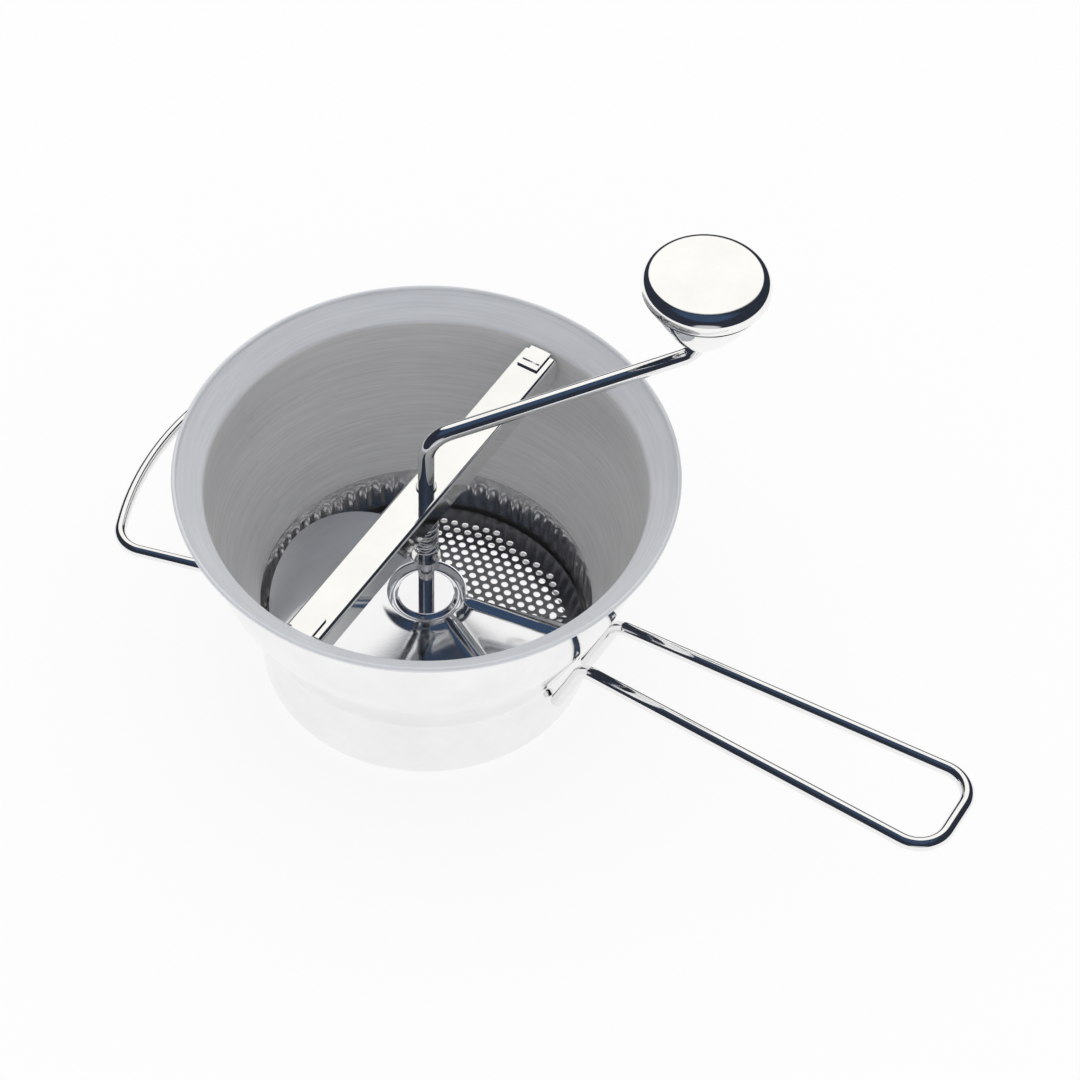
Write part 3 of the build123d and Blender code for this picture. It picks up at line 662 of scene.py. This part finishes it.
# ---------------------------------------------------------------- CAD nodes that stay
STAYING = {
    "crossbar": BAR_STEEL, "crossbar_bush": SMALL_STEEL, "bush_lock_ring": SMALL_STEEL,
    "end_clip": BAR_STEEL, "latch_strip": BAR_STEEL, "upper_washer": SMALL_STEEL,
    "lower_washer": SMALL_STEEL, "spring_pin": SMALL_STEEL, "sieve_bush": SMALL_STEEL,
    "rotor_hub": ROTOR_STEEL, "hub_rivets": ROTOR_STEEL, "hub_pin": SMALL_STEEL,
    "knob_retainer": SMALL_STEEL, "knob_stop_ring": SMALL_STEEL, "knob_bush": BUSH_NYLON,
}
for node, material in STAYING.items():
    cad_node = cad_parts[node]
    cad_node.data.materials.clear()
    cad_node.data.materials.append(material)

# ---------------------------------------------------------------- floor, studio and camera
VIEW_TURN, VIEW_TILT = radians(32.8), radians(50.2)
VIEW_DISTANCE, VIEW_DROP = 1.5, 0.034
FLOOR_GLOW = 0.85        # share of the floor that takes no shadow
SKY_LEVEL = 0.95
DARK_STUDIO = (0.025, 0.03, 0.045)
# side, elevation, inner and outer radius in degrees, and colour; side 0 is behind the object
STUDIO_PATCHES = [
    (180, 78, 18, 36, (0.04, 0.07, 0.13)),
    (0, 43, 25, 29, (1.06, 1.05, 1.02)),
    (180, -2, 14, 24, (0.6, 0.6, 0.62)),
]


def floor_finish():
    """White to the camera and in the steel, with a share left for the object's shadow."""
    material = bpy.data.materials.new("PaleFloor")
    material.use_nodes = True
    tree = material.node_tree
    shader = tree.nodes["Principled BSDF"]
    shader.inputs["Base Color"].default_value = (0.97, 0.97, 0.97, 1)
    shader.inputs["Roughness"].default_value = 0.9
    output = tree.nodes["Material Output"]
    glow = wire_up(tree, "ShaderNodeEmission", {"Color": (1, 1, 1, 1), "Strength": 1.0})
    rays = wire_up(tree, "ShaderNodeLightPath", {})
    seen = reckon(tree, "MAXIMUM", rays.outputs["Is Camera Ray"], rays.outputs["Is Glossy Ray"])
    share = reckon(tree, "MULTIPLY", seen, FLOOR_GLOW)
    mixed = wire_up(tree, "ShaderNodeMixShader", {0: share, 1: shader.outputs[0], 2: glow.outputs[0]})
    tree.links.new(mixed.outputs[0], output.inputs["Surface"])
    return material


clear_selection()
bpy.ops.mesh.primitive_circle_add(vertices=64, radius=1.6, fill_type="NGON", location=(0, 0, -0.0002))
floor = bpy.context.object
floor.name = "studio_floor"
floor.data.materials.append(floor_finish())


def studio_world():
    """White behind the object, and in reflections a dark studio with its lit patches."""
    world = bpy.data.worlds.new("Studio")
    world.use_nodes = True
    bpy.context.scene.world = world
    tree = world.node_tree
    tree.nodes.clear()
    place = wire_up(tree, "ShaderNodeTexCoord", {})
    turn = wire_up(tree, "ShaderNodeMapping", {
        "Vector": place.outputs["Generated"], "Rotation": (0, 0, -VIEW_TURN)}, vector_type="POINT")
    level = wire_up(tree, "ShaderNodeRGB", {})
    level.outputs[0].default_value = (*DARK_STUDIO, 1)
    colour = level.outputs[0]

    def patch(colour, side, elevation, inner, outer, tone):
        """The colour with a soft round patch laid over it."""
        toward = Vector((
            sin(radians(side)) * cos(radians(elevation)),
            cos(radians(side)) * cos(radians(elevation)),
            sin(radians(elevation)),
        ))
        dot = wire_up(tree, "ShaderNodeVectorMath", {0: turn.outputs[0], 1: toward}, operation="DOT_PRODUCT")
        mask = wire_up(tree, "ShaderNodeMapRange", {
            "Value": dot.outputs["Value"], "From Min": cos(radians(outer)), "From Max": cos(radians(inner))},
            interpolation_type="SMOOTHSTEP")
        mixed = wire_up(tree, "ShaderNodeMix", {0: mask.outputs[0], 6: colour, 7: (*tone, 1)},
                        data_type="RGBA")
        return mixed.outputs[2]

    for place_and_tone in STUDIO_PATCHES:
        colour = patch(colour, *place_and_tone)
    studio = wire_up(tree, "ShaderNodeBackground", {"Color": colour, "Strength": 1.0})
    plain = wire_up(tree, "ShaderNodeBackground", {"Color": (1, 1, 1, 1), "Strength": 1.0})
    soft = wire_up(tree, "ShaderNodeBackground", {"Color": (1, 1, 1, 1), "Strength": SKY_LEVEL})
    rays = wire_up(tree, "ShaderNodeLightPath", {})
    lit = wire_up(tree, "ShaderNodeMixShader", {
        0: rays.outputs["Is Glossy Ray"], 1: soft.outputs[0], 2: studio.outputs[0]})
    shown = wire_up(tree, "ShaderNodeMixShader", {
        0: rays.outputs["Is Camera Ray"], 1: lit.outputs[0], 2: plain.outputs[0]})
    put = tree.nodes.new("ShaderNodeOutputWorld")
    tree.links.new(shown.outputs[0], put.inputs["Surface"])


studio_world()

ahead = Vector((-sin(VIEW_TURN) * cos(VIEW_TILT), cos(VIEW_TURN) * cos(VIEW_TILT), -sin(VIEW_TILT)))
above = Vector((-sin(VIEW_TURN) * sin(VIEW_TILT), cos(VIEW_TURN) * sin(VIEW_TILT), cos(VIEW_TILT)))
lens = bpy.data.cameras.new("Camera")
lens.lens = 106.43
lens.sensor_width = 36.0
lens.sensor_fit = "HORIZONTAL"
lens.shift_x = 0.1053
lens.clip_end = 20
camera = bpy.data.objects.new("Camera", lens)
bpy.context.scene.collection.objects.link(camera)
camera.location = Vector((0, 0, RIM_HEIGHT * MM)) - ahead * VIEW_DISTANCE - above * VIEW_DROP
camera.rotation_euler = ahead.to_track_quat("-Z", "Y").to_euler()
bpy.context.scene.camera = camera

bpy.context.scene.view_settings.view_transform = "Standard"
